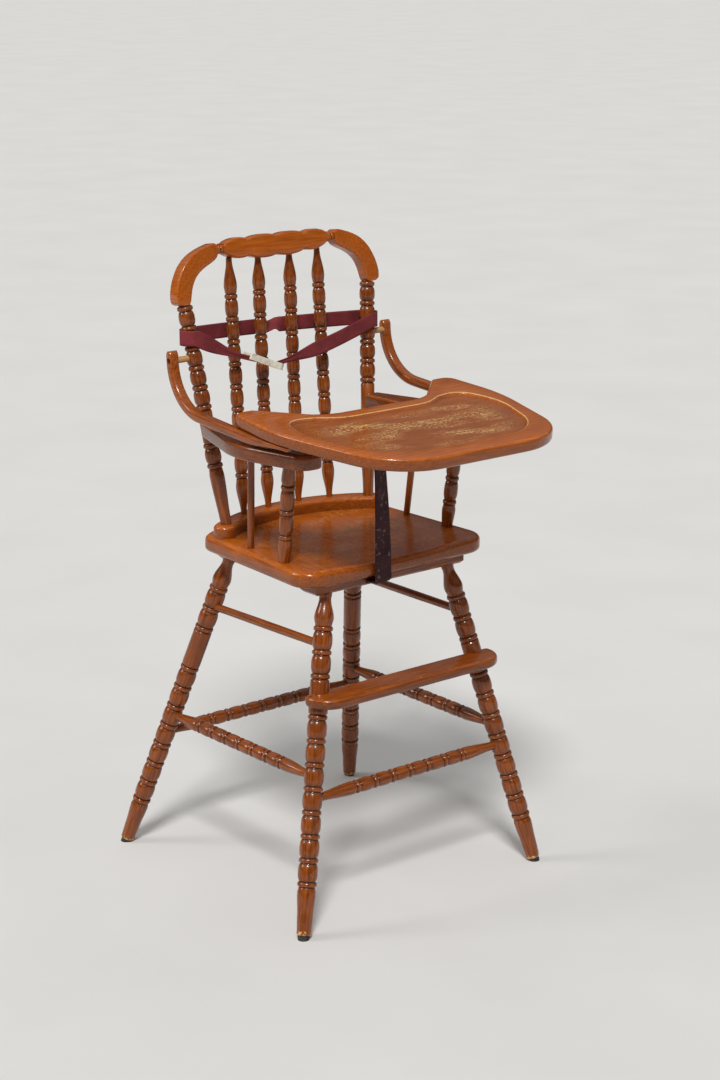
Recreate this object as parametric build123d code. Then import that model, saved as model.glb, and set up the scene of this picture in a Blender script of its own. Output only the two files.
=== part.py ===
from build123d import *
import os
from math import asin, atan, cos, degrees, radians, sin, sqrt, tan

# A child's bobbin-turned wooden high chair. Millimetres, +Z up, floor at z = 0,
# the sitter faces -Y, the sitter's left is +X, and x = 0 is the mirror plane.

# Legs: foot points on the floor, and leg tops under the seat battens
FRONT_FOOT = Vector(235.5, -178.0, 0)
FRONT_TOP = Vector(120.3, -87.5, 500.5)
REAR_FOOT = Vector(236.0, 303.0, 0)
REAR_TOP = Vector(125.5, 152.0, 500.5)
LEG_FOOT, LEG_ANKLE_UP, LEG_PLAIN = 11.4, 77.0, 13.4
# The vase under a leg's tenon: radius, distance below the leg's top
LEG_VASE = [(LEG_PLAIN, 56.0), (14.6, 43.0), (13.1, 30.0), (11.3, 16.0), (9.3, 4.0)]
LEG_TENON_LENGTH = 13.0
GLIDE_RADIUS, GLIDE_HEIGHT = 9.0, 6.0
# Largest rise of a gentle slope, as a share of a turned piece's length
GENTLE_RISE = 0.0042

# Rungs between the legs, by the height at which each meets a leg
FRONT_RUNG_Z, REAR_RUNG_Z = 201.5, 199.5
SIDE_RUNG_FRONT_Z, SIDE_RUNG_REAR_Z = 234.0, 230.0
RAIL_FRONT_Z, RAIL_REAR_Z = 425.0, 420.0
# A rung's tapered end: radius, distance from the leg's axis
RUNG_TAPER = [(6.0, 4.0), (6.0, 15.0), (7.5, 27.0), (9.0, 44.0), (10.5, 72.0)]
RAIL_RADIUS = 6.35
RAIL_STOP = 4.0

# Seat board and the two battens under it
SEAT_TOP, SEAT_THICK = 545.0, 26.0
SEAT_FRONT_Y, SEAT_CORNER_Y, SEAT_BACK_Y = -119.0, 150.0, 201.0
SEAT_FRONT_HALF, SEAT_REAR_HALF = 184.0, 170.0
SEAT_FRONT_CORNER, SEAT_REAR_CORNER = 38.0, 22.0
SEAT_CHAMFER = 6.0
BATTEN_HALF, BATTEN_WIDE = 146.0, 40.0
FRONT_BATTEN_Y, REAR_BATTEN_Y = -78.0, 144.0
REAR_BATTEN_HALF = 138.0
BATTEN_CHAMFER = 4.0

# Curved riser on the seat's back edge, which carries the posts and spindles
RISER_ARC, RISER_CENTRE_Y, RISER_HALF_ANGLE = 255.3, -76.3, 35.15
RISER_WIDE, RISER_TOP, RISER_CHAMFER = 36.0, 564.0, 3.5

# Back posts and spindles
POST_BOTTOM = Vector(142.7, 135.4, RISER_TOP)
POST_TOP = Vector(179.4, 184.3, 905.0)
# A post's foot: radius, distance up the post
POST_TAPER = [(8.5, 4.0), (9.8, 32.0), (11.0, 93.8)]
# Runs of turned beads up a post: first groove, pitch, how many
POST_RUNS = [(93.8, 32.1, 1), (125.9, 61.1, 1), (187.0, 30.2, 5)]
POST_BEAD, POST_GROOVE, GROOVE_SLOPE = 12.2, 11.0, 3.0
SPINDLE_FEET = [(86.0, 166.0), (30.5, 176.0)]
SPINDLE_TOP_Y, SPINDLE_TOP_Z = 196.7, 964.0
# A spindle's vase-shaped end: radius, distance from the riser or the crest
SPINDLE_TAPER = [(4.6, -9.0), (4.6, 3.0), (6.3, 14.0), (8.0, 27.0), (9.7, 47.0)]

# Crest rail and corner blocks, drawn on a plane that leans back with the posts
BACK_LEAN = degrees(atan(0.15))
CREST_THICK, CORNER_CHAMFER = 22.0, 3.0
CORNER_OUTER, CORNER_INNER, CORNER_BEND = 199.0, 163.0, 35.0
CORNER_CENTRE = 143.0
CREST_END = 114.0
CREST_END_TOP, CREST_END_BOTTOM = 90.5, 71.5
# Half of the crest's carved lobes: notch x, top and bottom, then the lobe's own top and bottom
CREST_NOTCHES = [(0.0, 91.5, 62.5), (55.0, 90.0, 65.0), (102.0, 88.0, 73.5)]
CREST_LOBES = [(27.5, 95.0, 58.5), (79.0, 93.0, 63.5)]
CREST_NECK, CREST_NECK_DEEP = 105.0, 1.5

# Fixed arms with a turned arm post and a thin dowel under each
ARM_BOTTOM, ARM_THICK, ARM_CHAMFER = 705.0, 24.0, 4.0
# The left arm's outline: corner x, corner y, rounding radius
ARM_CORNERS = [(149, 150, 0), (176, 150, 0), (223, 5, 150), (192, -127, 24), (150, -127, 14)]
ARM_POST_BOTTOM = Vector(161.4, -39.6, SEAT_TOP)
ARM_POST_TOP = Vector(164.7, -58.9, ARM_BOTTOM)
ARM_POST_BEAD, ARM_POST_GROOVE = 10.2, 9.6
ARM_POST_RING, ARM_POST_PITCH, ARM_POST_BEADS = 41.0, 39.5, 2
DOWEL_BOTTOM = Vector(155.6, 53.1, SEAT_TOP)
DOWEL_TOP = Vector(163.4, 38.2, ARM_BOTTOM)
DOWEL_RADIUS = 5.25
SOCKET_DEEP = 12.0

# Tray: a board that slopes down towards the front, on two bent arms
TRAY_SLOPE = 3.925
TRAY_UP = Vector(0, -sin(radians(TRAY_SLOPE)), cos(radians(TRAY_SLOPE)))
TRAY_PLANE = Plane(origin=(0, -138.0, 760.5), x_dir=(1, 0, 0), z_dir=TRAY_UP)
TRAY_THICK, TRAY_CHAMFER = 20.0, 5.0
# Half outlines: corner x, corner y, rounding radius
TRAY_HALF = [(165, -175.6, 110), (222, 40, 280), (213, 158, 20), (173, 157, 20), (107, 81, 90)]
RECESS_HALF = [(140, -139, 105), (192, 10, 120), (170, 84, 32), (120, 76, 40), (85, 54, 80)]
RECESS_DEEP, RECESS_CHAMFER = 6.0, 2.5
TRAY_ARM_WIDE, TRAY_ARM_THICK, TRAY_ARM_BEND = 17.0, 15.0, 80.0
TRAY_ARM_FRONT_Y, TRAY_ARM_CORNER_Y = -118.0, 169.0
TRAY_ARM_PLAN = [(208.8, 205.0), (213.0, -8.0), (211.0, -109.5)]
PIVOT_Y, PIVOT_Z = 173.5, 825.0
TRAY_ARM_TIP_Y, TRAY_ARM_TIP_Z = 175.4, 832.5
PEG_RADIUS, PEG_PLAY, PEG_END_PLAY = 5.0, 0.05, 0.5
PEG_INNER, PEG_OUTER = 166.0, 206.0
SCREW_SEAT, SCREW_HEAD, SCREW_RECESS, SCREW_TALL = 212.0, 3.8, 4.4, 2.4

# Footrest board, notched round the front legs
FOOTREST_HALF, FOOTREST_FRONT_Y, FOOTREST_REAR_Y = 205.0, -166.0, -106.0
FOOTREST_BOTTOM, FOOTREST_THICK = 341.0, 17.0
FOOTREST_CORNER, FOOTREST_CHAMFER, NOTCH_PLAY = 24.0, 3.0, 0.02

# Ribbon belt round the back posts, and the sprung clip that joins its ends
RIBBON_WIDE, RIBBON_THICK, RIBBON_PINCHED = 24.0, 1.4, 7.0
RIBBON_WRAP, RIBBON_SEAM, RIBBON_BOW, RIBBON_PLAY = 16.5, 10.0, 12.0, 0.05
CLIP_CENTRE = Vector(-42.0, 157.0, 804.0)
CLIP_TILT = 22.0
CLIP_JAW, CLIP_HANDLE, CLIP_WIDE, CLIP_LEG_THICK = 28.0, 44.0, 10.0, 6.5
CLIP_GAP, CLIP_SPREAD, CLIP_COIL, CLIP_COIL_PLAY = 1.7, 9.0, 3.8, 0.4
CLIP_NOSE, CLIP_HANDLE_THICK, CLIP_RELIEF = (6.0, 3.0), 4.5, 0.8
RIGHT_WRAP_Z, LEFT_WRAP_Z = 857.0, 846.0

# Crotch strap from the seat front up to the tray
STRAP_WIDE, STRAP_THICK = 30.0, 1.6
STRAP_HINGE = Vector(-36.0, -121.8, 509.5)
STRAP_TOP = Vector(-62.0, -141.0, 737.0)
STRAP_HINGE_GAP, STRAP_LIFT = 1.9, 1.0


def beads(start, pitch, count, groove, bead):
    """Profile points of a run of turned beads, with a groove before, between and after them."""
    points = [(groove, start)]
    for number in range(count):
        near, far = start + pitch * number, start + pitch * (number + 1)
        points += [(bead, near + GROOVE_SLOPE), (bead, far - GROOVE_SLOPE), (groove, far)]
    return points


def both_ends(taper, length):
    """Profile points of a piece with the same taper at both ends."""
    return [*taper, *[(radius, length - along) for radius, along in reversed(taper)]]


def turned(profile, start, end):
    """A piece turned about the line from start to end, from (radius, distance) points.

    A gentle slope is drawn as a straight curve, which meshes with fewer facets than a cone.
    """
    edges = Curve()
    gentle = GENTLE_RISE * (profile[-1][1] - profile[0][1])
    outline = [(0, profile[0][1]), *profile, (0, profile[-1][1])]
    for first, second in zip(outline, outline[1:]):
        rise, run = abs(second[0] - first[0]), abs(second[1] - first[1])
        curved = 0 < rise < min(gentle, run)
        edges += Bezier(first, second) if curved else Line(first, second)
    edges += Line(outline[-1], outline[0])
    solid = revolve(Plane.XZ * make_face(edges), Axis.Z)
    return Plane(origin=start, z_dir=end - start) * solid


def rod(radius, start, end):
    """A plain round bar from start to end."""
    return turned([(radius, 0), (radius, (end - start).length)], start, end)


def on_line(start, end, z):
    """The point at height z on the line from start to end."""
    return start + (end - start) * ((z - start.Z) / (end.Z - start.Z))


def mirrored(point):
    """The same point on the sitter's right."""
    return Vector(-point.X, point.Y, point.Z)


def leg(foot, top):
    """One turned leg: tapered foot, long shaft, vase and tenon."""
    length = (top - foot).length
    profile = [(LEG_FOOT, GLIDE_HEIGHT), (LEG_PLAIN, LEG_ANKLE_UP)]
    profile += [(radius, length - down) for radius, down in LEG_VASE]
    return turned([*profile, (LEG_VASE[-1][0], length + LEG_TENON_LENGTH)], foot, top)


def glide(foot, top):
    """The dark glide under a leg, cut level with the floor."""
    stub = turned([(GLIDE_RADIUS, -GLIDE_HEIGHT), (GLIDE_RADIUS, GLIDE_HEIGHT)], foot, top)
    size = 4 * GLIDE_HEIGHT
    above_floor = Pos(foot.X, foot.Y, size / 2) * Box(size, size, size)
    return stub & above_floor


def rung(start, end):
    """A lower rung with tapered ends, tenoned into two legs."""
    return turned(both_ends(RUNG_TAPER, (end - start).length), start, end)


def back_post(bottom, top):
    """A back post: tapered foot, bead, plain length for the arm, then a run of beads."""
    length = (top - bottom).length
    profile = [(POST_TAPER[0][0], -SOCKET_DEEP), *POST_TAPER]
    for start, pitch, count in POST_RUNS:
        profile += beads(start, pitch, count, POST_GROOVE, POST_BEAD)[1:]
    return turned([*profile, (POST_GROOVE, length + SOCKET_DEEP)], bottom, top)


def spindle(bottom, top):
    """A back spindle with a slim, vase-shaped taper at each end."""
    return turned(both_ends(SPINDLE_TAPER, (top - bottom).length), bottom, top)


def arm_post(bottom, top):
    """The turned post under the front of an arm."""
    length = (top - bottom).length
    run = beads(ARM_POST_RING, ARM_POST_PITCH, ARM_POST_BEADS, ARM_POST_GROOVE, ARM_POST_BEAD)
    foot, head = (ARM_POST_GROOVE, -SOCKET_DEEP), (ARM_POST_GROOVE, length + SOCKET_DEEP)
    return turned([foot, *run, head], bottom, top)


def eased_ends(board, size):
    """The board with the edges of its top and bottom faces chamfered."""
    faces = board.faces().sort_by(Axis.Z)
    return chamfer(faces[-1].edges() + faces[0].edges(), size)


def seat_board():
    """The seat: tapered plan, bowed back edge, eased edges."""
    front_left, front_right = (SEAT_FRONT_HALF, SEAT_FRONT_Y), (-SEAT_FRONT_HALF, SEAT_FRONT_Y)
    rear_left, rear_right = (SEAT_REAR_HALF, SEAT_CORNER_Y), (-SEAT_REAR_HALF, SEAT_CORNER_Y)
    edges = Line(front_right, front_left) + Line(front_left, rear_left) + Line(rear_right, front_right)
    edges += ThreePointArc(rear_left, (0, SEAT_BACK_Y), rear_right)
    plan = make_face(edges)
    corners = plan.vertices().sort_by(Axis.Y)
    plan = fillet(corners[:2], SEAT_FRONT_CORNER)
    corners = plan.vertices().sort_by(Axis.Y)
    plan = fillet(corners[-2:], SEAT_REAR_CORNER)
    board = Pos(0, 0, SEAT_TOP - SEAT_THICK) * extrude(plan, SEAT_THICK)
    return eased_ends(board, SEAT_CHAMFER)


def batten(centre_y, half):
    """A cross batten under the seat."""
    thick = SEAT_TOP - SEAT_THICK - FRONT_TOP.Z
    block = Pos(0, centre_y, FRONT_TOP.Z + thick / 2) * Box(2 * half, BATTEN_WIDE, thick)
    return chamfer(block.faces().sort_by(Axis.Z)[0].edges(), BATTEN_CHAMFER)


def riser():
    """The curved block along the seat's back edge, with round ends."""
    line = CenterArc((0, RISER_CENTRE_Y), RISER_ARC, 90 - RISER_HALF_ANGLE, 2 * RISER_HALF_ANGLE)
    block = Pos(0, 0, SEAT_TOP) * extrude(SlotArc(line, RISER_WIDE), RISER_TOP - SEAT_TOP)
    return chamfer(block.faces().sort_by(Axis.Z)[-1].edges(), RISER_CHAMFER)


def back_plane():
    """The leaning plane of the crest: x across, y up the lean from the post tops."""
    lean = radians(BACK_LEAN)
    return Plane(origin=(0, POST_TOP.Y, POST_TOP.Z), x_dir=(1, 0, 0), z_dir=Vector(0, -cos(lean), sin(lean)))


def crest_corner():
    """The quarter-round block that joins a back post to the crest rail."""
    outer_radius = CORNER_OUTER - CORNER_CENTRE
    inner_radius = CORNER_INNER - CORNER_CENTRE
    top = CORNER_BEND + outer_radius
    edges = Line((CORNER_INNER, 0), (CORNER_OUTER, 0)) + Line((CORNER_OUTER, 0), (CORNER_OUTER, CORNER_BEND))
    edges += CenterArc((CORNER_CENTRE, CORNER_BEND), outer_radius, 0, 90)
    edges += Polyline((CORNER_CENTRE, top), (CREST_END, CREST_END_TOP), (CREST_END, CREST_END_BOTTOM))
    edges += Line((CREST_END, CREST_END_BOTTOM), (CORNER_CENTRE, CORNER_BEND + inner_radius))
    edges += CenterArc((CORNER_CENTRE, CORNER_BEND), inner_radius, 0, 90)
    edges += Line((CORNER_INNER, CORNER_BEND), (CORNER_INNER, 0))
    return back_plane() * eased_ends(extrude(make_face(edges), CREST_THICK / 2, both=True), CORNER_CHAMFER)


def crest_rail():
    """The carved crest: rounded lobes with notches between them, and a bead at each end."""
    edges = Curve()
    for side in (1, -1):
        for (near, near_top, near_low), (mid, top, low), (far, far_top, far_low) in zip(
            CREST_NOTCHES, CREST_LOBES, CREST_NOTCHES[1:]
        ):
            edges += ThreePointArc((side * near, near_top), (side * mid, top), (side * far, far_top))
            edges += ThreePointArc((side * near, near_low), (side * mid, low), (side * far, far_low))
        last, last_top, last_low = CREST_NOTCHES[-1]
        bead = (CREST_NECK + CREST_END) / 2
        end = [
            (last, last_top), (CREST_NECK, last_top - CREST_NECK_DEEP), (bead, CREST_END_TOP),
            (CREST_END, CREST_END_TOP), (CREST_END, CREST_END_BOTTOM), (bead, CREST_END_BOTTOM),
            (CREST_NECK, last_low + CREST_NECK_DEEP), (last, last_low),
        ]
        edges += Polyline(*[(side * x, y) for x, y in end])
    return back_plane() * extrude(make_face(edges), CREST_THICK / 2, both=True)


def rounded_outline(corners):
    """A face with rounded corners, from each corner's x, y and rounding radius."""
    face = make_face(Polyline(*[(x, y) for x, y, radius in corners], close=True))
    for x, y, radius in corners:
        if radius:
            face = fillet(face.vertices().sort_by_distance((x, y, 0))[0], radius)
    return face


def both_halves(half):
    """Corners of a half outline and of its mirror image at x = 0, in order."""
    return half + [(-x, y, radius) for x, y, radius in half[::-1]]


def fixed_arm():
    """The sitter's left arm: a flat board bowed outwards, round at the front."""
    board = Pos(0, 0, ARM_BOTTOM) * extrude(rounded_outline(ARM_CORNERS), ARM_THICK)
    return chamfer(board.faces().sort_by(Axis.Z)[-1].edges(), ARM_CHAMFER)


def tray_board():
    """The tray: curved outline with two ears, belly cut-out, eased edges and a shallow recess."""
    board = extrude(rounded_outline(both_halves(TRAY_HALF)), -TRAY_THICK)
    board = eased_ends(board, TRAY_CHAMFER)
    recess = extrude(rounded_outline(both_halves(RECESS_HALF)), -RECESS_DEEP)
    recess = chamfer(recess.faces().sort_by(Axis.Z)[0].edges(), RECESS_CHAMFER)
    return TRAY_PLANE * (board - recess)


def tray_arm():
    """The sitter's left tray arm: bent up to its peg, and slightly bowed in plan."""
    middle = Vector(0, 0, -TRAY_THICK - TRAY_ARM_THICK / 2)
    level = TRAY_PLANE.from_local_coords(middle)
    slope = tan(radians(TRAY_SLOPE))
    front = Vector(0, TRAY_ARM_FRONT_Y, level.Z + slope * (TRAY_ARM_FRONT_Y - level.Y))
    corner = Vector(0, TRAY_ARM_CORNER_Y, level.Z + slope * (TRAY_ARM_CORNER_Y - level.Y))
    tip = Vector(0, TRAY_ARM_TIP_Y, TRAY_ARM_TIP_Z)
    path = FilletPolyline(front, corner, tip, radius=TRAY_ARM_BEND)
    across = 2 * (PEG_OUTER + TRAY_ARM_WIDE)
    section = Plane(origin=path @ 0, x_dir=(1, 0, 0), z_dir=path % 0) * Rectangle(across, TRAY_ARM_THICK)
    strip = sweep(section, path=path)
    strip += Pos(tip) * Rot(0, 90, 0) * Cylinder(TRAY_ARM_THICK / 2, across)
    plan = extrude(SlotArc(ThreePointArc(*TRAY_ARM_PLAN), TRAY_ARM_WIDE), POST_TOP.Z)
    return strip & plan


def footrest():
    """The footrest board, before its notches are cut."""
    deep = FOOTREST_REAR_Y - FOOTREST_FRONT_Y
    plan = RectangleRounded(2 * FOOTREST_HALF, deep, FOOTREST_CORNER)
    board = Pos(0, (FOOTREST_REAR_Y + FOOTREST_FRONT_Y) / 2, FOOTREST_BOTTOM) * extrude(plan, FOOTREST_THICK)
    return eased_ends(board, FOOTREST_CHAMFER)


def ribbon_run(post, reach_end):
    """A front run of the belt: half round a post, then narrowing to its end in the clip.

    Drawn in a frame at the post: x towards the clip, y to the back, z up.
    """
    to_clip = Vector(reach_end.X - post.X, reach_end.Y - post.Y, 0)
    reach = sqrt(to_clip.length**2 - RIBBON_WRAP**2)
    line = CenterArc((0, 0), RIBBON_WRAP, 90 + RIBBON_SEAM, 180 - RIBBON_SEAM)
    line += Line((0, -RIBBON_WRAP), (reach, -RIBBON_WRAP))
    fall = post.Z - reach_end.Z
    band = extrude(trace(line, line_width=RIBBON_THICK), fall + RIBBON_WIDE, both=True)
    level, end = RIBBON_WIDE / 2, RIBBON_PINCHED / 2
    side = Polyline(
        (-2 * RIBBON_WRAP, -level), (0, -level), (reach, -fall - end),
        (reach, -fall + end), (0, level), (-2 * RIBBON_WRAP, level), close=True,
    )
    band = band & extrude(Plane.XZ * make_face(side), reach, both=True)
    heading = degrees(atan(to_clip.Y / abs(to_clip.X))) + degrees(asin(RIBBON_WRAP / to_clip.length))
    if reach_end.X < post.X:
        return Pos(post) * Rot(0, 0, -heading) * mirror(band, Plane.YZ)
    return Pos(post) * Rot(0, 0, heading) * band


def ribbon_back(right_end, left_end):
    """The belt's run behind the spindles, bowed back round them."""
    half = (left_end - right_end).X / 2
    line = ThreePointArc((-half, 0), (0, RIBBON_BOW), (half, 0))
    band = extrude(trace(line, line_width=RIBBON_THICK), RIBBON_WIDE / 2, both=True)
    fall = degrees(atan((right_end.Z - left_end.Z) / (2 * half)))
    return Pos((right_end + left_end) * 0.5) * Rot(0, fall, 0) * band


def clip_leg(front):
    """One leg of the sprung clip: flat jaw, a notch for the coil and a spread handle."""
    outside = CLIP_GAP + CLIP_LEG_THICK
    nose_long, nose_deep = CLIP_NOSE
    outline = [
        (-CLIP_HANDLE, CLIP_SPREAD), (-2 * CLIP_COIL, CLIP_GAP + CLIP_RELIEF), (CLIP_JAW, CLIP_GAP),
        (CLIP_JAW, outside - nose_deep), (CLIP_JAW - nose_long, outside), (0, outside),
        (-CLIP_HANDLE, CLIP_SPREAD + CLIP_HANDLE_THICK),
    ]
    face = make_face(Polyline(*outline, close=True)) - Circle(CLIP_COIL + CLIP_COIL_PLAY)
    solid = extrude(face, CLIP_WIDE / 2, both=True)
    return mirror(solid, Plane.XZ) if front else solid


os.makedirs("parts", exist_ok=True)
pieces = {}

# Seat, battens and riser
seat = seat_board()
front_batten = batten(FRONT_BATTEN_Y, BATTEN_HALF)
rear_batten = batten(REAR_BATTEN_Y, REAR_BATTEN_HALF)
back_riser = riser()

# Legs, rungs and rails: +X is the sitter's left
leg_lines = {
    "front_left": (FRONT_FOOT, FRONT_TOP),
    "front_right": (mirrored(FRONT_FOOT), mirrored(FRONT_TOP)),
    "rear_left": (REAR_FOOT, REAR_TOP),
    "rear_right": (mirrored(REAR_FOOT), mirrored(REAR_TOP)),
}
legs = {name: leg(foot, top) for name, (foot, top) in leg_lines.items()}
joints_on_legs = {
    "front_rung": ("front_right", FRONT_RUNG_Z, "front_left", FRONT_RUNG_Z, rung),
    "rear_rung": ("rear_right", REAR_RUNG_Z, "rear_left", REAR_RUNG_Z, rung),
    "left_rung": ("front_left", SIDE_RUNG_FRONT_Z, "rear_left", SIDE_RUNG_REAR_Z, rung),
    "right_rung": ("front_right", SIDE_RUNG_FRONT_Z, "rear_right", SIDE_RUNG_REAR_Z, rung),
    "left_upper_rail": ("front_left", RAIL_FRONT_Z, "rear_left", RAIL_REAR_Z, None),
    "right_upper_rail": ("front_right", RAIL_FRONT_Z, "rear_right", RAIL_REAR_Z, None),
}
for name, (first, first_z, second, second_z, maker) in joints_on_legs.items():
    start, end = on_line(*leg_lines[first], first_z), on_line(*leg_lines[second], second_z)
    along = (end - start).normalized()
    bar = maker(start, end) if maker else rod(RAIL_RADIUS, start + along * RAIL_STOP, end - along * RAIL_STOP)
    legs[first] -= bar
    legs[second] -= bar
    pieces[name] = bar

# Footrest, notched round the plain length of both front legs
foot_board = footrest()
for foot, top in (leg_lines["front_left"], leg_lines["front_right"]):
    foot_board -= rod(LEG_PLAIN + NOTCH_PLAY, foot, top)
for name, solid in legs.items():
    front_batten -= solid
    rear_batten -= solid
    pieces[f"{name}_leg"] = solid
pieces["foot_glides"] = Compound([glide(foot, top) for foot, top in leg_lines.values()])
pieces["footrest"] = foot_board
pieces["front_seat_batten"] = front_batten
pieces["rear_seat_batten"] = rear_batten

# Back: posts, spindles, corner blocks and crest
left_post = back_post(POST_BOTTOM, POST_TOP)
left_corner = crest_corner() - left_post
crest = crest_rail()
post_shape = left_post
peg_end = Vector(PEG_INNER - PEG_END_PLAY, PIVOT_Y, PIVOT_Z)
peg_bore = rod(PEG_RADIUS + PEG_PLAY, peg_end, Vector(PEG_OUTER, PIVOT_Y, PIVOT_Z))
left_post -= peg_bore
spindle_number = 0
for x_foot, y_foot in [(-x, y) for x, y in SPINDLE_FEET] + SPINDLE_FEET[::-1]:
    spindle_number += 1
    turned_spindle = spindle(Vector(x_foot, y_foot, RISER_TOP), Vector(x_foot, SPINDLE_TOP_Y, SPINDLE_TOP_Z))
    crest -= turned_spindle
    back_riser -= turned_spindle
    pieces[f"back_spindle_{spindle_number}"] = turned_spindle

# Arms, arm posts and dowels
left_arm_post = arm_post(ARM_POST_BOTTOM, ARM_POST_TOP)
dowel_way = (DOWEL_TOP - DOWEL_BOTTOM).normalized()
left_dowel = rod(DOWEL_RADIUS, DOWEL_BOTTOM - dowel_way * SOCKET_DEEP, DOWEL_TOP + dowel_way * SOCKET_DEEP)
left_arm = fixed_arm() - left_post - left_arm_post - left_dowel

# Tray, its bent arms, pegs and screw heads
board = tray_board()
left_tray_arm = tray_arm()
peg_axis_out = Vector(PEG_OUTER, PIVOT_Y, PIVOT_Z)
left_peg = rod(PEG_RADIUS, Vector(PEG_INNER, PIVOT_Y, PIVOT_Z), peg_axis_out)
screw_seat = Vector(SCREW_SEAT, PIVOT_Y, PIVOT_Z)
left_pivot_screw = rod(SCREW_HEAD, screw_seat, screw_seat + Vector(SCREW_TALL, 0, 0))
recess_bore = rod(SCREW_RECESS, screw_seat, screw_seat + Vector(TRAY_ARM_WIDE, 0, 0))
left_tray_arm = left_tray_arm - left_peg - recess_bore

# Pairs: the sitter's left piece and its mirror image
pairs = {
    "back_post": left_post,
    "crest_corner": left_corner,
    "arm": left_arm,
    "arm_post": left_arm_post,
    "arm_dowel": left_dowel,
    "tray_arm": left_tray_arm,
}
for name, solid in pairs.items():
    pieces[f"left_{name}"] = solid
    pieces[f"right_{name}"] = mirror(solid, Plane.YZ)
grouped = {
    "pivot_pegs": left_peg,
    "pivot_screws": left_pivot_screw,
}
for name, solid in grouped.items():
    pieces[name] = Compound([*solid.solids(), *mirror(solid, Plane.YZ).solids()])
for solid in (post_shape, left_arm_post, left_dowel):
    for copy in (solid, mirror(solid, Plane.YZ)):
        seat -= copy
        back_riser -= copy
pieces["seat"] = seat
pieces["seat_back_riser"] = back_riser
pieces["crest_rail"] = crest
pieces["tray_board"] = board

# Ribbon belt and its clip
right_wrap = mirrored(on_line(POST_BOTTOM, POST_TOP, RIGHT_WRAP_Z))
left_wrap = on_line(POST_BOTTOM, POST_TOP, LEFT_WRAP_Z)
clip_frame = Pos(CLIP_CENTRE) * Rot(0, CLIP_TILT, 0)
clip_way = Vector(cos(radians(CLIP_TILT)), 0, -sin(radians(CLIP_TILT)))
in_jaws = CLIP_CENTRE + clip_way * (CLIP_JAW / 2)
in_handles = CLIP_CENTRE - clip_way * (2 * CLIP_COIL)
half_ribbon = Vector(0, RIBBON_THICK / 2 + RIBBON_PLAY, 0)
pieces["belt_right_run"] = ribbon_run(right_wrap, in_handles - half_ribbon)
pieces["belt_left_run"] = ribbon_run(left_wrap, in_jaws + half_ribbon)
behind = Vector(0, RIBBON_WRAP, 0)
pieces["belt_back_run"] = ribbon_back(right_wrap + behind, left_wrap + behind)
pieces["clip_front_leg"] = clip_frame * clip_leg(True)
pieces["clip_back_leg"] = clip_frame * clip_leg(False)
pieces["clip_spring"] = clip_frame * Cylinder(CLIP_COIL, CLIP_WIDE)

# Crotch strap: the free strap, and its end screwed to the front batten
strap_way = (STRAP_TOP - STRAP_HINGE).normalized()
strap_length = (STRAP_TOP - STRAP_HINGE).length
strap_plane = Plane(origin=STRAP_HINGE, x_dir=(1, 0, -strap_way.X / strap_way.Z), z_dir=strap_way)
strap = Pos(0, 0, (strap_length + STRAP_LIFT) / 2) * Box(STRAP_WIDE, STRAP_THICK, strap_length - STRAP_LIFT)
pieces["crotch_strap"] = strap_plane * strap
batten_face = FRONT_BATTEN_Y - BATTEN_WIDE / 2
tab_front = STRAP_HINGE.Y + STRAP_HINGE_GAP
tab_deep = batten_face - tab_front
tab = Pos(STRAP_HINGE.X, tab_front + tab_deep / 2, STRAP_HINGE.Z) * Box(STRAP_WIDE, tab_deep, STRAP_THICK)
flange_low = FRONT_TOP.Z + BATTEN_CHAMFER
flange_tall = STRAP_HINGE.Z + STRAP_THICK / 2 - flange_low
flange = Pos(STRAP_HINGE.X, batten_face - STRAP_THICK / 2, flange_low + flange_tall / 2)
tab += flange * Box(STRAP_WIDE, STRAP_THICK, flange_tall)
pieces["crotch_strap_end"] = tab

for name, solid in pieces.items():
    export_step(solid, f"parts/{name}.step")
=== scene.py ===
"""Looks of a bobbin-turned wooden high chair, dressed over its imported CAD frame."""
import logging
import math
from collections.abc import Callable, Sequence
from dataclasses import dataclass, field
from enum import Enum
from functools import cache

import bpy
from mathutils import Matrix, Vector


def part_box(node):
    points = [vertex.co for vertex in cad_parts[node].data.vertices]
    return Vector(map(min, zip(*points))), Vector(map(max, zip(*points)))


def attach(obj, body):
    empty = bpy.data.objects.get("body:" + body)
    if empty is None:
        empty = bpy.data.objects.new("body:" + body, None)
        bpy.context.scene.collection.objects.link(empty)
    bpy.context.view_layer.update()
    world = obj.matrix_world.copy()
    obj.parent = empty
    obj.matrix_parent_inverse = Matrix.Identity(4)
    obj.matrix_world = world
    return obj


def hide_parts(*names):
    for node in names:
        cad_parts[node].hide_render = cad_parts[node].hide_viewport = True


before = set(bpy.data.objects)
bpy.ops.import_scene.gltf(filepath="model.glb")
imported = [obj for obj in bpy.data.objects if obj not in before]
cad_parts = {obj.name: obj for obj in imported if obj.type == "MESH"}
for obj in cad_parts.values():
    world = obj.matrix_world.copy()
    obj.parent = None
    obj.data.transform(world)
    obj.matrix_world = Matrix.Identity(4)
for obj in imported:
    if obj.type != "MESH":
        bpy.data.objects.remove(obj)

LOG = logging.getLogger("high_chair")
# A millimetre and the gap that a weld closes, in metres
MM = 0.001
WELD_REACH = 0.00002
# The angles above which an edge is eased, or stays sharp, in degrees
EASED_ANGLE = 28.0
SHARP_ANGLE = 50.0
Colour = tuple[float, float, float]
Outline = list[tuple[float, float]]


class Grain(Enum):
    """The way the wood grain runs in a piece's own axes, as noise scales in X, Y and Z."""

    X = (20.0, 330.0, 330.0)
    Y = (330.0, 20.0, 330.0)
    Z = (330.0, 330.0, 20.0)


class Body(Enum):
    """The CAD bodies that pieces ride on."""

    CHAIR = "chair"
    TRAY = "tray"
    STRAP = "strap"


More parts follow.
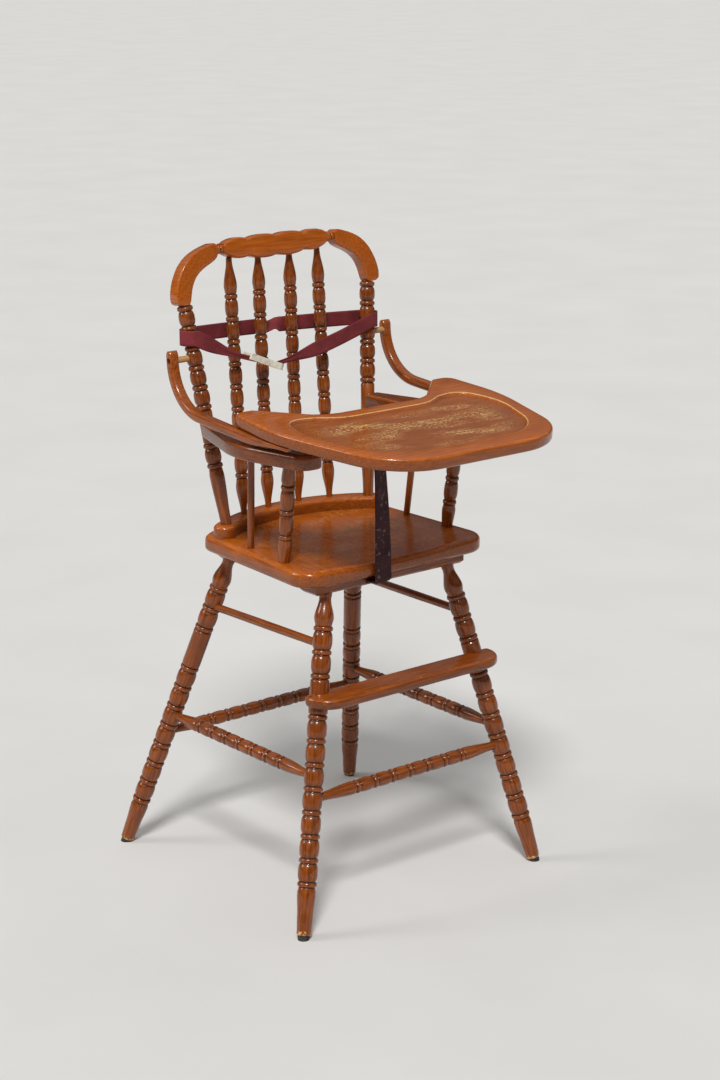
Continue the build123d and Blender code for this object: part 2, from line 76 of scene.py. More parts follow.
class Side(Enum):
    """The sitter's left and right, as the sign of x."""

    LEFT = 1
    RIGHT = -1

    @property
    def word(self) -> str:
        """The side's name in node names."""
        return self.name.lower()

    def place(self, x: float, y: float, z: float) -> Vector:
        """A point given for the left side, in millimetres, on this side."""
        return Vector((self.value * x, y, z))


class Shader:
    """A builder for one procedural node material."""

    def __init__(self, name: str) -> None:
        """Starts a material with a Principled shader.

        Args:
            name: The material's name.
        """
        self.material = bpy.data.materials.new(name)
        self.material.use_nodes = True
        self.tree = self.material.node_tree
        self.surface = self.tree.nodes["Principled BSDF"]

    def node(self, kind: str, inputs: dict[str, object] | None = None, **settings: object) -> bpy.types.Node:
        """Adds a node.

        Args:
            kind: The node's type.
            inputs: Socket name to a constant or to another node's output socket.
            settings: Properties of the node itself.

        Returns:
            The new node.
        """
        made = self.tree.nodes.new(kind)
        for name, value in settings.items():
            setattr(made, name, value)
        for name, value in (inputs or {}).items():
            self.feed(made.inputs[name], value)
        return made

    def feed(self, socket: bpy.types.NodeSocket, value: object) -> None:
        """Sets a socket to a constant, or links it to an output.

        Args:
            socket: The input socket.
            value: A constant or an output socket.
        """
        if isinstance(value, bpy.types.NodeSocket):
            self.tree.links.new(value, socket)
        else:
            socket.default_value = value

    def noise(self, vector: bpy.types.NodeSocket, scale: float, detail: float = 4.0) -> bpy.types.NodeSocket:
        """Noise between about 0 and 1, with its scale in repeats per metre and its detail in octaves."""
        inputs = {"Vector": vector, "Scale": scale, "Detail": detail}
        return self.node("ShaderNodeTexNoise", inputs).outputs["Fac"]

    def remap(
        self, value: bpy.types.NodeSocket, low: float, high: float, to: tuple[float, float] = (0.0, 1.0)
    ) -> bpy.types.NodeSocket:
        """Maps a value from low..high to the two outputs given, clamped."""
        inputs = {"Value": value, "From Min": low, "From Max": high, "To Min": to[0], "To Max": to[1]}
        return self.node("ShaderNodeMapRange", inputs, clamp=True).outputs["Result"]

    def math(self, operation: str, *values: object) -> bpy.types.NodeSocket:
        """The result of a sum on values.

        Args:
            operation: The kind of sum, as the maths node names it.
            values: Constants or sockets, in order.

        Returns:
            The result's socket.
        """
        made = self.node("ShaderNodeMath", operation=operation)
        for socket, value in zip(made.inputs, values):
            self.feed(socket, value)
        return made.outputs[0]

    def times(self, first: object, second: object) -> bpy.types.NodeSocket:
        """The product of two values, each a constant or a socket."""
        return self.math("MULTIPLY", first, second)

    def blend(self, amount: object, first: object, second: object) -> bpy.types.NodeSocket:
        """A colour between two colours.

        Args:
            amount: 0 gives the first colour and 1 the second.
            first: A colour or socket.
            second: A colour or socket.

        Returns:
            The mixed colour's socket.
        """
        made = self.node("ShaderNodeMix", data_type="RGBA")
        for socket, value in ((made.inputs[0], amount), (made.inputs[6], first), (made.inputs[7], second)):
            self.feed(socket, (*value, 1.0) if isinstance(value, tuple) else value)
        return made.outputs[2]

    def bump(self, height: bpy.types.NodeSocket, strength: float, distance: float) -> None:
        """Bumps the surface by a height's socket, with a strength and a depth in metres."""
        made = self.node("ShaderNodeBump", {"Height": height, "Strength": strength, "Distance": distance})
        self.feed(self.surface.inputs["Normal"], made.outputs["Normal"])

    def finish(self, colour: bpy.types.NodeSocket, **sockets: object) -> bpy.types.Material:
        """Connects the colour and the shader's other inputs.

        Args:
            colour: The base colour's socket.
            sockets: Principled input names, with spaces as underscores, to values.

        Returns:
            The finished material.
        """
        self.feed(self.surface.inputs["Base Color"], colour)
        for name, value in sockets.items():
            self.feed(self.surface.inputs[name.replace("_", " ")], value)
        return self.material


@dataclass(frozen=True)
class WoodFinish:
    """Stained and lacquered wood: streaky grain, painted shade in grooves and on board sides, worn edges and
    specks.
    """

    name: str
    slot: str
    light: Colour
    dark: Colour
    # The groove colour is the dark of painted shade in grooves and on board sides; it also darkens the tray's
    # recess floor.
    groove: Colour = (0.022, 0.006, 0.002)
    worn: Colour = (0.70, 0.44, 0.16)
    roughness: float = 0.25
    coat: float = 0.4
    speckle: float = 0.25

    @cache
    def material(self, grain: Grain) -> bpy.types.Material:
        """The node material with the grain along one axis.

        Args:
            grain: The grain's axis.

        Returns:
            The material, shared by pieces with the same grain.
        """
        shader = Shader(f"{self.name}_{grain.name.lower()}")
        here = shader.node("ShaderNodeTexCoord").outputs["Object"]
        along = shader.node("ShaderNodeMapping", {"Vector": here, "Scale": grain.value}).outputs["Vector"]
        streak = shader.noise(along, 1.0, 6.0)
        pores = shader.noise(along, 3.2, 3.0)
        patch = shader.noise(here, 9.0, 3.0)
        colour = shader.blend(shader.remap(streak, 0.3, 0.72), self.dark, self.light)
        colour = shader.blend(shader.remap(patch, 0.42, 0.78, (0.0, 0.6)), colour, self.dark)
        # Below 0 the per-point attribute paints shade towards the groove colour; above 0 it marks worn edges,
        # rubbed pale in flecks.
        wear = shader.node("ShaderNodeAttribute", attribute_name="wear").outputs["Fac"]
        colour = shader.blend(shader.remap(wear, 0.0, -1.0, (0.0, 0.88)), colour, self.groove)
        rubbed = shader.math("MULTIPLY_ADD", wear, 0.22, shader.noise(here, 170.0, 5.0))
        rubbed = shader.times(shader.remap(rubbed, 0.60, 0.70), shader.remap(wear, 0.02, 0.3))
        colour = shader.blend(shader.times(rubbed, 0.85), colour, self.worn)
        specks = shader.remap(shader.noise(here, 420.0, 3.0), 0.69, 0.74, (0.0, self.speckle))
        colour = shader.blend(specks, colour, self.worn)
        scuff = shader.node("ShaderNodeAttribute", attribute_name="scuff").outputs["Fac"]
        colour = shader.blend(shader.times(self.scratches(shader, here), scuff), colour, self.worn)
        shine = (self.roughness - 0.07, self.roughness + 0.12)
        rough = shader.remap(shader.noise(here, 60.0, 4.0), 0.3, 0.7, shine)
        shader.bump(shader.times(streak, pores), 0.12, 0.0008)
        return shader.finish(
            colour, Roughness=rough, Coat_Weight=self.coat, Coat_Roughness=0.08, Specular_IOR_Level=0.3
        )

    @staticmethod
    def scratches(shader: Shader, here: bpy.types.NodeSocket) -> bpy.types.NodeSocket:
        """Fine pale scratches across the board and specks between them, in patches.

        Args:
            shader: The material being built.
            here: Object coordinates.

        Returns:
            The scratches' amount.
        """
        total = shader.remap(shader.noise(here, 300.0, 4.0), 0.56, 0.61)
        for turn, low in ((0.25, 0.59), (-0.5, 0.62)):
            inputs = {"Vector": here, "Rotation": (0.0, 0.0, turn), "Scale": (26.0, 620.0, 620.0)}
            lines = shader.noise(shader.node("ShaderNodeMapping", inputs).outputs["Vector"], 1.0, 2.0)
            total = shader.math("MAXIMUM", total, shader.remap(lines, low, low + 0.06))
        inputs = {"Vector": here, "Scale": (9.0, 26.0, 9.0)}
        patch = shader.noise(shader.node("ShaderNodeMapping", inputs).outputs["Vector"], 1.0, 3.0)
        return shader.times(total, shader.remap(patch, 0.43, 0.56))


@dataclass(frozen=True)
class ClothFinish:
    """Woven webbing: crossed bands of thread, soft sheen and a few pale specks."""

    name: str
    slot: str
    light: Colour
    dark: Colour
    speck: Colour
    specks: float
    thread: float = 900.0

    @cache
    def material(self) -> bpy.types.Material:
        """The node material, made once.

        Returns:
            The material.
        """
        shader = Shader(self.name)
        here = shader.node("ShaderNodeTexCoord").outputs["Object"]
        threads = {"Vector": here, "Scale": self.thread}
        weft = shader.node("ShaderNodeTexWave", threads, bands_direction="Z").outputs["Fac"]
        warp = shader.node("ShaderNodeTexWave", threads, bands_direction="X").outputs["Fac"]
        weave = shader.times(weft, warp)
        patch = shader.remap(shader.noise(here, 40.0, 4.0), 0.3, 0.7)
        colour = shader.blend(patch, self.dark, self.light)
        colour = shader.blend(shader.remap(weave, 0.0, 0.5, (0.35, 0.0)), colour, self.dark)
        specks = shader.remap(shader.noise(here, 150.0, 2.0), 0.61, 0.69, (0.0, self.specks))
        colour = shader.blend(specks, colour, self.speck)
        shader.bump(weave, 0.35, 0.0004)
        return shader.finish(
            colour, Roughness=0.78, Sheen_Weight=0.05, Sheen_Roughness=0.4, Specular_IOR_Level=0.2
        )


@dataclass(frozen=True)
class PlainFinish:
    """Plastic, rubber or metal with soiling and an uneven shine."""

    name: str
    slot: str
    clean: Colour
    soiled: Colour
    roughness: float
    metal: float = 0.0

    @cache
    def material(self) -> bpy.types.Material:
        """The node material, made once.

        Returns:
            The material.
        """
        shader = Shader(self.name)
        here = shader.node("ShaderNodeTexCoord").outputs["Object"]
        soil = shader.noise(here, 160.0, 5.0)
        colour = shader.blend(shader.remap(soil, 0.45, 0.75), self.clean, self.soiled)
        rough = shader.remap(soil, 0.3, 0.7, (self.roughness - 0.06, self.roughness + 0.14))
        shader.bump(shader.noise(here, 700.0, 3.0), 0.08, 0.0003)
        return shader.finish(colour, Roughness=rough, Metallic=self.metal)


TURNED = WoodFinish("turned_wood", "turned_wood", light=(0.34, 0.078, 0.005), dark=(0.11, 0.022, 0.002))
BOARD = WoodFinish(
    "board_wood", "board_wood", light=(0.54, 0.130, 0.007), dark=(0.29, 0.060, 0.004),
    speckle=0.18, roughness=0.27,
)
# A darker copy of the board wood: painted shade for the fixed arms and tray arms under the tray, and the
# footrest under the seat.
SHADED_BOARD = WoodFinish(
    "arm_wood", "board_wood", light=(0.40, 0.092, 0.006), dark=(0.17, 0.035, 0.003), speckle=0.18
)
PEG = WoodFinish(
    "peg_wood", "peg_wood", light=(0.60, 0.34, 0.14), dark=(0.42, 0.21, 0.08), coat=0.1, roughness=0.5
)
RIBBON = ClothFinish(
    "ribbon_weave", "belt_ribbon", light=(0.270, 0.040, 0.046), dark=(0.150, 0.021, 0.025),
    speck=(0.30, 0.11, 0.11), specks=0.12,
)
WEBBING = ClothFinish(
    "webbing_weave", "strap_webbing", light=(0.070, 0.022, 0.026), dark=(0.038, 0.012, 0.015),
    speck=(0.26, 0.19, 0.17), specks=0.6,
)
IVORY = PlainFinish(
    "ivory_plastic", "clip_plastic", clean=(0.90, 0.86, 0.72), soiled=(0.66, 0.57, 0.40), roughness=0.45
)
STEEL = PlainFinish(
    "coil_steel", "spring_steel", clean=(0.45, 0.43, 0.40), soiled=(0.22, 0.17, 0.12),
    roughness=0.38, metal=1.0,
)
BRASS = PlainFinish(
    "screw_metal", "screw_brass", clean=(0.52, 0.36, 0.14), soiled=(0.25, 0.15, 0.06),
    roughness=0.42, metal=1.0,
)
RUBBER = PlainFinish(
    "dark_rubber", "glide_rubber", clean=(0.018, 0.016, 0.015), soiled=(0.06, 0.05, 0.045), roughness=0.7
)


@dataclass
class Skin:
    """A mesh under construction, in millimetres, with worn edges, painted shade and scuff kept per point."""

    points: list[Vector] = field(default_factory=list)
    rows: list[list[int]] = field(default_factory=list)
    wear: list[float] = field(default_factory=list)
    scuff: list[float] = field(default_factory=list)

    def row(self, points: Sequence[Vector], wear: float = 0.0, scuff: float = 0.0) -> None:
        """Adds a row of points after the last row.

        Args:
            points: The points.
            wear: below 0 painted shade, down to -1 in a groove; 1 on a worn edge.
            scuff: 1 where the surface is scratched.
        """
        first = len(self.points)
        self.points += [Vector(point) for point in points]
        self.wear += [wear] * len(points)
        self.scuff += [scuff] * len(points)
        self.rows.append(list(range(first, len(self.points))))

    def faces(self, closed: bool) -> list[tuple[int, ...]]:
        """Joins each row to the next with quads.

        Args:
            closed: Whether the rows are loops, of which the first and last are filled.

        Returns:
            The faces, as the numbers of their points.
        """
        found: list[tuple[int, ...]] = []
        for lower, upper in zip(self.rows, self.rows[1:]):
            for number in range(len(lower) if closed else len(lower) - 1):
                after = (number + 1) % len(lower)
                found.append((lower[number], lower[after], upper[after], upper[number]))
        if closed:
            found += [tuple(reversed(self.rows[0])), tuple(self.rows[-1])]
        return found

    def build(
        self, name: str, material: bpy.types.Material, placement: Matrix | None = None,
        sharp: float = SHARP_ANGLE, closed: bool = True,
    ) -> bpy.types.Object:
        """Makes the object.

        Args:
            name: The object's name.
            material: Its material.
            placement: Where its own axes lie, with millimetres already turned to metres.
            sharp: The angle, in degrees, above which an edge stays sharp.
            closed: Whether the rows are loops, of which the first and last are filled.

        Returns:
            The object.
        """
        mesh = bpy.data.meshes.new(name)
        mesh.from_pydata([tuple(point * MM) for point in self.points], [], self.faces(closed))
        for title, values in (("wear", self.wear), ("scuff", self.scuff)):
            layer = mesh.attributes.new(title, "FLOAT", "POINT")
            layer.data.foreach_set("value", values)
        mesh.shade_smooth()
        mesh.set_sharp_from_angle(angle=math.radians(sharp))
        mesh.materials.append(material)
        made = bpy.data.objects.new(name, mesh)
        bpy.context.scene.collection.objects.link(made)
        if placement is not None:
            made.matrix_world = placement
        bpy.context.view_layer.update()
        return made


def adopt(made: bpy.types.Object, body: Body, slot: str, *nodes: str) -> bpy.types.Object:
    """Puts a piece on its body, in place of the CAD nodes that it stands for.

    Args:
        made: The piece.
        body: The body that it rides on.
        slot: Its material slot's name; not used.
        nodes: The CAD nodes that it replaces.

    Returns:
        The piece.
    """
    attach(made, body.value)
    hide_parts(*nodes)
    LOG.info("%s stands for %s", made.name, ", ".join(nodes))
    return made


def dress(node: str, material: bpy.types.Material, rounding: float = 0.0) -> None:
    """Gives a carried-over CAD node its material and eased edges.

    Args:
        node: The node's name.
        material: Its material.
        rounding: The eased edges' width, in millimetres.
    """
    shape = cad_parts[node]
    shape.data.materials.clear()
    shape.data.materials.append(material)
    if rounding:
        weld = shape.modifiers.new("weld", "WELD")
        weld.merge_threshold = WELD_REACH
        bevel = shape.modifiers.new("ease", "BEVEL")
        bevel.width = rounding * MM
        bevel.segments = 3
        bevel.limit_method = "ANGLE"
        bevel.angle_limit = math.radians(EASED_ANGLE)
        bevel.harden_normals = True
    LOG.info("%s is carried over", node)


def placed(start: Vector, end: Vector) -> Matrix:
    """The placement, in metres, of a piece whose own Z runs from start to end, in millimetres."""
    turn = (end - start).to_track_quat("Z", "X").to_matrix().to_4x4()
    return Matrix.Translation(start * MM) @ turn


def smooth(share: float) -> float:
    """An even ease from 0 to 1."""
    share = min(max(share, 0.0), 1.0)
    return share * share * (3 - 2 * share)


@dataclass
class Turning:
    """The profile of a turned piece: radius, distance along the axis, and worn edge or painted shade, in
    order.
    """

    points: list[tuple[float, float, float]] = field(default_factory=list)

    def to(self, radius: float, along: float, wear: float = 0.0) -> "Turning":
        """Adds one profile point: a radius, a distance along the axis and how worn it is there, below 0 as
        painted shade.
        """
        self.points.append((radius, along, wear))
        return self

    def curve(self, radius: float, along: float, steps: int = 8) -> "Turning":
        """Eases from the last point to another radius.

        Args:
            radius: The radius to reach.
            along: Where it is reached.
            steps: Points on the way.

        Returns:
            This profile.
        """
        first_radius, first_along, _ = self.points[-1]
        for number in range(1, steps + 1):
            share = number / steps
            rise = (radius - first_radius) * smooth(share)
            self.to(first_radius + rise, first_along + (along - first_along) * share)
        return self

    def barrel(self, along: float, crown: float, waist: float, steps: int = 10) -> "Turning":
        """Swells from the last point to a crown and back to the waist.

        Args:
            along: Where the barrel ends.
            crown: Its largest radius.
            waist: Its radius at both ends.
            steps: Points on the way.

        Returns:
            This profile.
        """
        start = self.points[-1][1]
        for number in range(steps + 1):
            share = number / steps
            swell = 1 - abs(2 * share - 1) ** 3
            # Painted shade deepens towards the barrel's ends, next to the grooves.
            self.to(waist + (crown - waist) * swell, start + (along - start) * share, -0.35 * (1 - swell))
        return self

    def ring(self, middle: float, radius: float, groove: float, width: float) -> "Turning":
        """Cuts one round ring between two narrow grooves.

        Args:
            middle: The ring's middle along the axis.
            radius: The ring's radius.
            groove: The grooves' radius.
            width: The ring's width.

        Returns:
            This profile.
        """
        start = middle - width / 2
        # The grooves are painted dark as shade; the ring's crown is faintly worn.
        self.to(groove, start - 0.7, -1.0)
        for share in (0.0, 0.04, 0.12, 0.25, 0.5, 0.75, 0.88, 0.96, 1.0):
            lift = math.sin(math.pi * share) ** 0.5
            self.to(groove + (radius - groove) * lift, start + share * width, 1.15 * lift - 1.0)
        return self.to(groove, start + width + 0.7, -1.0)

    def beads(
        self, first: float, pitch: float, count: int, crown: float, waist: float, width: float = 7.6
    ) -> "Turning":
        """Cuts a run of barrels with a ring before, between and after them.

        Args:
            first: The first ring's middle.
            pitch: The distance between rings.
            count: How many barrels.
            crown: The barrels' largest radius.
            waist: The barrels' radius at their ends.
            width: The rings' width.

        Returns:
            This profile.
        """
        edge = width / 2 + 1.4
        for number in range(count + 1):
            middle = first + number * pitch
            self.ring(middle, crown - 0.1, waist - 0.7, width)
            if number < count:
                # The barrel starts in painted shade beside the ring's groove.
                self.to(waist, middle + edge, -0.6).barrel(middle + pitch - edge, crown, waist)
        return self

    def spin(self, name: str, start: Vector, end: Vector, segments: int = 40) -> bpy.types.Object:
        """Turns the profile about the line from start to end.

        Args:
            name: The object's name.
            start: The axis' first point.
            end: A second point on the axis.
            segments: Points round the axis.

        Returns:
            The object.
        """
        skin = Skin()
        angles = [2 * math.pi * number / segments for number in range(segments)]
        for radius, along, wear in self.points:
            skin.row([Vector((radius * math.cos(a), radius * math.sin(a), along)) for a in angles], wear)
        return skin.build(name, TURNED.material(Grain.Z), placed(start, end), sharp=70.0)


def rounded(corners: Sequence[tuple[float, float, float]], steps: int = 14) -> Outline:
    """A closed outline with rounded corners.

    Args:
        corners: Corner x, corner y and rounding radius, in order.
        steps: Points on each rounding.

    Returns:
        The outline's points.
    """
    outline: Outline = []
    for number, (x, y, radius) in enumerate(corners):
        here = Vector((x, y))
        before = (Vector(corners[number - 1][:2]) - here).normalized()
        after = (Vector(corners[(number + 1) % len(corners)][:2]) - here).normalized()
        half = before.angle(after) / 2
        if radius == 0 or half > math.radians(89):
            outline.append((x, y))
            continue
        reach = radius / math.tan(half)
        middle = here + (before + after).normalized() * (radius / math.sin(half))
        first = here + before * reach - middle
        sweep = math.pi - 2 * half
        turn = 1 if before.cross(after) < 0 else -1
        for step in range(steps + 1):
            spot = middle + Matrix.Rotation(turn * sweep * step / steps, 2) @ first
            outline.append((spot.x, spot.y))
    return outline


def mirrored(half: Sequence[tuple[float, float, float]]) -> list[tuple[float, float, float]]:
    """A half outline's corners, given on the left, and their mirror images at x = 0."""
    return [*half, *[(-x, y, radius) for x, y, radius in reversed(half)]]


def inset(outline: Outline, distance: float) -> Outline:
    """An outline moved inwards.

    Args:
        outline: A counter-clockwise outline.
        distance: How far.

    Returns:
        The moved outline.
    """
    moved: Outline = []
    count = len(outline)
    for number in range(count):
        before, after = Vector(outline[number - 1]), Vector(outline[(number + 1) % count])
        along = (after - before).normalized()
        moved.append((outline[number][0] - along.y * distance, outline[number][1] + along.x * distance))
    return moved


def bar_section(low: float, high: float, half: float, ease: float) -> Outline:
    """A bar's section, from low to high and half its width to either side, with eased edges."""
    return rounded([(low, -half, ease), (high, -half, ease), (high, half, ease), (low, half, ease)], 5)


def arc(centre: tuple[float, float], radius: float, first: float, last: float, steps: int) -> Outline:
    """Points on an arc from one angle to another, in degrees."""
    angles = [math.radians(first + (last - first) * number / steps) for number in range(steps + 1)]
    return [(centre[0] + radius * math.cos(a), centre[1] + radius * math.sin(a)) for a in angles]


def spread(outline: Outline, middle: tuple[float, float], count: int = 220) -> Outline:
    """The outline's points at even angles round a point inside it.

    Args:
        outline: The outline.
        middle: The point inside.
        count: How many points.

    Returns:
        The points, counter-clockwise from the front.
    """
    found: Outline = []
    centre = Vector(middle)
    for number in range(count):
        angle = 2 * math.pi * number / count - math.pi / 2
        ray = Vector((math.cos(angle), math.sin(angle)))
        best = 0.0
        for first, second in zip(outline, outline[1:] + outline[:1]):
            a, b = Vector(first) - centre, Vector(second) - centre
            side_a, side_b = ray.cross(a), ray.cross(b)
            if side_a * side_b > 0 or side_a == side_b:
                continue
            hit = a + (b - a) * (side_a / (side_a - side_b))
            best = max(best, hit.dot(ray))
        found.append((middle[0] + best * ray.x, middle[1] + best * ray.y))
    return found


def edge_rows(
    skin: Skin, outline: Outline, bottom: float, top: float, low: float, high: float,
    drop: Callable[[float, float], float] | None = None, steps: int = 5,
) -> None:
    """Adds the rows of a board's rounded edge, from its underside to its top.

    Args:
        skin: The mesh.
        outline: The board's outline.
        bottom: The underside's height.
        top: The top's height.
        low: The lower edge's rounding radius.
        high: The upper edge's rounding radius.
        drop: How far the top is hollowed at a point.
        steps: Rows on each rounding.
    """
    # The sides are painted darker, as shade from the light above together with a stain, lightening to the
    # top; the top edge's rounding is worn in a few pale marks.
    for step in range(steps + 1):
        angle = math.pi / 2 * step / steps
        line = inset(outline, low * (1 - math.sin(angle)))
        skin.row([Vector((x, y, bottom + low * (1 - math.cos(angle)))) for x, y in line], -0.5)
    for step in range(steps + 1):
        angle = math.pi / 2 * step / steps
        line = inset(outline, high * (1 - math.cos(angle)))
        height = top - high * (1 - math.sin(angle))
        lowered = [Vector((x, y, height - (drop(x, y) if drop else 0.0))) for x, y in line]
        skin.row(lowered, 0.6 * math.sin(angle) - 0.45 if step < steps else 0.0)


def bored(made: bpy.types.Object, start: Vector, end: Vector, radius: float) -> None:
    """Cuts a round hole in a piece.

    Args:
        made: The piece.
        start: The hole's first end, in millimetres.
        end: Its second end.
        radius: Its radius.
    """
    cutter = Turning().to(radius, 0.0).to(radius, (end - start).length).spin("cutter", start, end, 48)
    hole = made.modifiers.new("hole", "BOOLEAN")
    hole.operation, hole.solver, hole.object = "DIFFERENCE", "EXACT", cutter
    bpy.context.view_layer.update()
    before, tool = made.data, cutter.data
    made.data = bpy.data.meshes.new_from_object(made.evaluated_get(bpy.context.evaluated_depsgraph_get()))
    made.modifiers.clear()
    made.data.set_sharp_from_angle(angle=math.radians(SHARP_ANGLE))
    bpy.data.objects.remove(cutter)
    for mesh in (before, tool):
        bpy.data.meshes.remove(mesh)


# Leg and back post lines on the left, and the seat's top, as in the CAD model, in millimetres
FRONT_FOOT, FRONT_TOP = (235.5, -178.0, 0.0), (120.3, -87.5, 500.5)
REAR_FOOT, REAR_TOP = (236.0, 303.0, 0.0), (125.5, 152.0, 500.5)
POST_BOTTOM, POST_TOP = (142.7, 135.4, 564.0), (179.4, 184.3, 905.0)
SEAT_TOP = 545.0


def on_line(start: Vector, end: Vector, height: float) -> Vector:
    """The point at a height on the line from start to end."""
    return start.lerp(end, (height - start.z) / (end.z - start.z))


@dataclass
class Assembly:
    """A sub-assembly and the body that its pieces ride on."""

    body: Body = Body.CHAIR

    def dress(self) -> None:
        """Leaves all as built, where no piece is carried over from the CAD model."""


@dataclass
class UnderFrame(Assembly):
    """Four splayed legs, their rungs and rails, the glides and the footrest."""

    leg_radius: float = 14.7
    front_rung_z: float = 201.5
    rear_rung_z: float = 199.5
    side_rung_z: tuple[float, float] = (234.0, 230.0)
    rail_z: tuple[float, float] = (425.0, 420.0)
    footrest_half: float = 184.0
    footrest_y: tuple[float, float] = (-163.0, -113.0)
    footrest_z: tuple[float, float] = (341.0, 358.0)
    lines: dict[str, tuple[Vector, Vector]] = field(default_factory=dict)

    def build(self) -> None:
        """Turns the legs, rungs and rails."""
        for side in Side:
            self.lines[f"front_{side.word}"] = (side.place(*FRONT_FOOT), side.place(*FRONT_TOP))
            self.lines[f"rear_{side.word}"] = (side.place(*REAR_FOOT), side.place(*REAR_TOP))
        for name, (foot, top) in self.lines.items():
            made = self.leg((top - foot).length).spin(f"{name}_leg_turning", foot, top)
            adopt(made, self.body, TURNED.slot, f"{name}_leg")
        self.join("front_rung", "front_right", self.front_rung_z, "front_left", self.front_rung_z)
        self.join("rear_rung", "rear_right", self.rear_rung_z, "rear_left", self.rear_rung_z)
        for side in Side:
            front, rear = f"front_{side.word}", f"rear_{side.word}"
            self.join(f"{side.word}_rung", front, self.side_rung_z[0], rear, self.side_rung_z[1])
            self.join(f"{side.word}_upper_rail", front, self.rail_z[0], rear, self.rail_z[1])
        self.footrest()

    def footrest(self) -> None:
        """Shapes the footrest and notches it round the front legs."""
        half, (front, back) = self.footrest_half, self.footrest_y
        outline = rounded([(-half, front, 40), (half, front, 40), (half, back, 9), (-half, back, 9)])
        skin = Skin()
        edge_rows(skin, outline, *self.footrest_z, 7.0, 6.0)
        # The footrest gets the darker board wood, as painted shade under the seat.
        made = skin.build("footrest_board", SHADED_BOARD.material(Grain.X))
        for side in Side:
            bored(made, *self.lines[f"front_{side.word}"], self.leg_radius)
        adopt(made, self.body, BOARD.slot, "footrest")

    def join(self, node: str, first: str, first_z: float, second: str, second_z: float) -> None:
        """Turns one rung or rail between two legs.

        Args:
            node: The CAD node that it stands for.
            first: The first leg.
            first_z: The height on the first leg.
            second: The second leg.
            second_z: The height on the second leg.
        """
        start, end = on_line(*self.lines[first], first_z), on_line(*self.lines[second], second_z)
        length = (end - start).length
        profile = self.rail(length) if node.endswith("rail") else self.rung(length)
        made = profile.spin(f"{node}_turning", start, end, 32)
        adopt(made, self.body, TURNED.slot, node)

    def leg(self, length: float) -> Turning:
        """A leg's profile.

        Args:
            length: From the floor to the batten.

        Returns:
            The profile.
        """
        profile = Turning().to(10.2, 6.2, 0.8).to(11.2, 7.4, 0.8).to(11.3, 12.0, 0.4)
        profile.curve(12.2, 34).curve(14.3, 70).curve(13.0, 77, 4)
        profile.beads(82.7, 35.9, 7, 15.2, 13.0)
        profile.to(14.4, 339.5).to(self.leg_radius, 343).to(self.leg_radius, length - 135)
        profile.to(14.4, length - 131.5)
        profile.beads(length - 126, 36.0, 2, 15.2, 13.0)
        profile.to(12.8, length - 50).curve(15.0, length - 38).curve(9.2, length - 9, 10)
        return profile.curve(10.2, length - 2, 4).to(10.2, length + 3)

    @staticmethod
    def rung(length: float) -> Turning:
        """A rung's profile, with tapered ends.

        Args:
            length: Between the two leg axes.

        Returns:
            The profile.
        """
        run = 6 * 35.0
        first = (length - run) / 2
        profile = Turning().to(6.4, 5).to(6.6, 14).curve(10.6, first - 10, 10).curve(9.6, first - 5.4, 3)
        profile.beads(first, 35.0, 6, 10.9, 9.2)
        profile.to(9.6, first + run + 5.4).curve(10.6, first + run + 10, 3)
        return profile.curve(6.6, length - 14, 10).to(6.4, length - 5)

    @staticmethod
    def rail(length: float) -> Turning:
        """A plain upper rail's profile, for the length between the two leg axes."""
        profile = Turning().to(6.2, 5).to(6.2, 20).curve(6.5, length / 2)
        return profile.curve(6.2, length - 20).to(6.2, length - 5)

    def dress(self) -> None:
        """Gives the glides their finish."""
        dress("foot_glides", RUBBER.material(), 1.0)


@dataclass
class SeatDeck(Assembly):
    """The dished seat board, the battens under it and the curved riser on it."""

    top: float = SEAT_TOP
    thick: float = 26.0
    dish: float = 5.5
    dish_y: float = -30.0
    dish_reach: float = 150.0
    front: float = -119.0
    front_half: float = 184.0
    rear: float = 150.0
    rear_half: float = 170.0
    bow: float = 51.0
    middle: float = 20.0

    def hollow(self, x: float, y: float) -> float:
        """How far the seat is dished at a point across and along it."""
        away = (x / self.dish_reach) ** 2 + ((y - self.dish_y) / self.dish_reach) ** 2
        return self.dish * smooth(1.15 - away)

    def build(self) -> None:
        """Shapes the seat and the riser."""
        angles = [math.pi * number / 18 for number in range(1, 18)]
        back = [(self.rear_half * math.cos(a), self.rear + self.bow * math.sin(a), 0) for a in angles]
        corners = [
            (-self.front_half, self.front, 38), (self.front_half, self.front, 38),
            (self.rear_half, self.rear, 20), *back, (-self.rear_half, self.rear, 20),
        ]
        outline = spread(rounded(corners), (0.0, self.middle))
        skin = Skin()
        edge_rows(skin, outline, self.top - self.thick, self.top, 8.0, 9.0, self.hollow)
        for share in (0.93, 0.8, 0.62, 0.42, 0.22, 0.06):
            part = share * 0.95
            line = [(x * part, self.middle + (y - self.middle) * part) for x, y in outline]
            points = [Vector((x, y, self.top - self.hollow(x, y))) for x, y in line]
            skin.row(points, 0.0, 0.35 if share < 0.85 else 0.0)
        adopt(skin.build("seat_board", BOARD.material(Grain.Y)), self.body, BOARD.slot, "seat")
        self.riser()

    def riser(self) -> None:
        """Shapes the curved riser with its round ends."""
        centre, radius, half, wide = (0.0, -76.3), 255.3, 35.15, 18.0
        first, last = 90.0 - half, 90.0 + half
        left_end, right_end = arc(centre, radius, first, last, 1)
        outline = arc(centre, radius + wide, first, last, 40)
        outline += arc(right_end, wide, last, last + 180.0, 12)[1:-1]
        outline += arc(centre, radius - wide, last, first, 40)
        outline += arc(left_end, wide, first + 180.0, first + 360.0, 12)[1:-1]
        skin = Skin()
        edge_rows(skin, outline, self.top - 1.0, self.top + 19.0, 0.5, 6.0)
        adopt(skin.build("back_riser", BOARD.material(Grain.X)), self.body, TURNED.slot, "seat_back_riser")

    def dress(self) -> None:
        """Gives the battens their finish."""
        for node in ("front_seat_batten", "rear_seat_batten"):
            dress(node, TURNED.material(Grain.X), 1.5)


